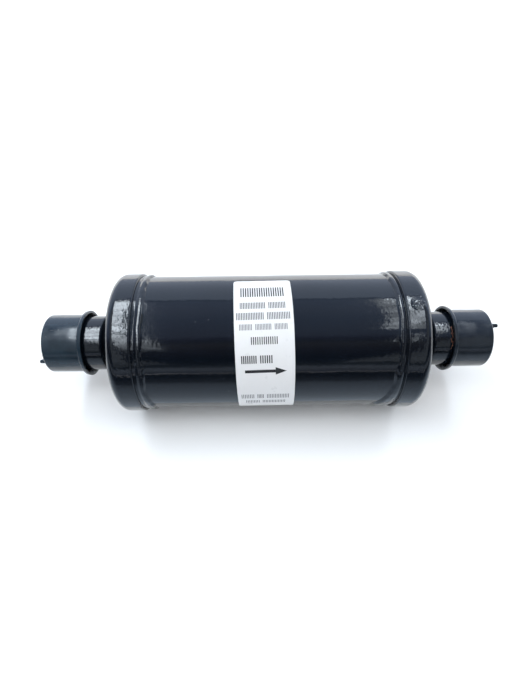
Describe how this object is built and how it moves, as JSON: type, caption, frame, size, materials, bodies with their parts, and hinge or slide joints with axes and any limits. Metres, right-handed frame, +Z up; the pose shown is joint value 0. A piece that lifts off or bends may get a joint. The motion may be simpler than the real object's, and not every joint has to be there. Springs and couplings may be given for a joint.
{
  "type": "filter drier",
  "caption": "Round welded steel drier shell with a copper solder socket at each end, pull-off plastic caps and a desiccant core, mat and perforated plate inside.",
  "frame": {"origin": "centre of the shell, on its axis", "axes": "+X along the flow, from inlet to outlet; +Z up, with the sticker on the upper front, -Y"},
  "size_m": [0.2616, 0.0796, 0.0796],
  "materials": {
    "black_coat": "gloss",
    "coated_weld": "gloss",
    "copper": "satin",
    "cap_plastic": "satin",
    "sticker": "satin",
    "spring_steel": "satin",
    "zinc_plate": "satin",
    "wire_mesh": "matte",
    "felt": "matte",
    "polyester": "matte",
    "desiccant": "matte"
  },
  "bodies": {
    "drier": {"shell_tube": "black_coat", "product_label": "sticker", "inlet_end_cap": "black_coat", "inlet_seam_weld": "coated_weld", "inlet_connector": "copper", "inlet_braze_ring": "coated_weld", "outlet_end_cap": "black_coat", "outlet_seam_weld": "coated_weld", "outlet_connector": "copper", "outlet_braze_ring": "coated_weld", "core_spring": "spring_steel", "spring_plate": "zinc_plate", "inlet_felt": "felt", "desiccant_core": "desiccant", "core_seal": "felt", "filter_mat": "polyester", "outlet_mesh": "wire_mesh", "outlet_plate": "zinc_plate"},
    "inlet_cap": {"inlet_sealing_cap": "cap_plastic"},
    "outlet_cap": {"outlet_sealing_cap": "cap_plastic"}
  },
  "joints": [
    {"name": "inlet_cap_pull", "type": "slide", "parent": "drier", "child": "inlet_cap", "axis": [-1, 0, 0], "range_m": [0, 0.08]},
    {"name": "outlet_cap_pull", "type": "slide", "parent": "drier", "child": "outlet_cap", "axis": [1, 0, 0], "range_m": [0, 0.08]}
  ]
}
